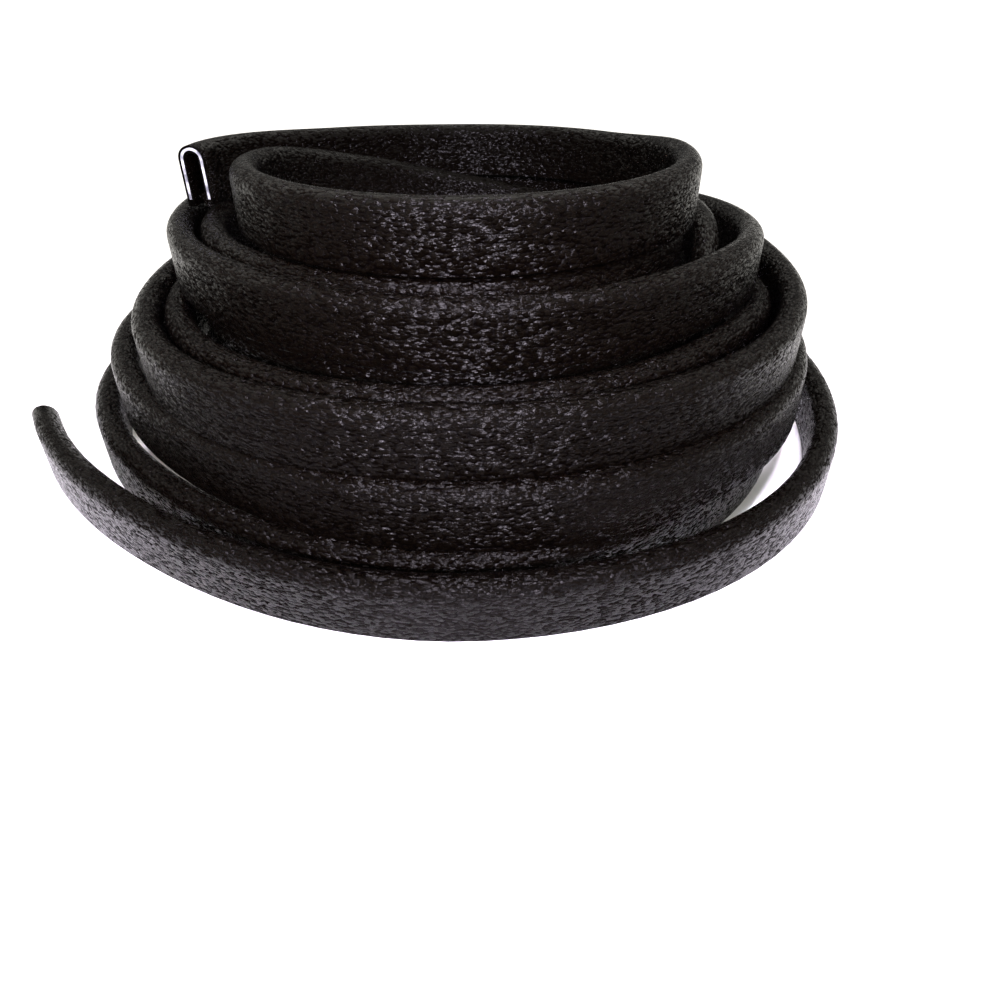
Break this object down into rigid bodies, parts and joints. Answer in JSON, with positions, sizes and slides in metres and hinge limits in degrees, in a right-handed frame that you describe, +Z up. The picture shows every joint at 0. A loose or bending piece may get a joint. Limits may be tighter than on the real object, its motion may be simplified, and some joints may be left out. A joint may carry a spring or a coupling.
{
  "type": "edge trim seal",
  "caption": "Loose, stepped coil of flexible U-shaped edge trim with a grained black skin, a gripping lip and a metal core that shows at the cut end.",
  "frame": {"origin": "on the floor, under the middle of the coil's extent with its free tail", "axes": "+Z up along the coil's axis, away from the trim's open side; -Y towards the cut end's face; -X towards the free tail"},
  "size_m": [0.2136, 0.2014, 0.0719],
  "materials": {
    "trim": "satin, leather grain",
    "core": "satin"
  },
  "bodies": {
    "root": {"trim_profile": "trim", "clamp_core": "core"}
  },
  "joints": []
}
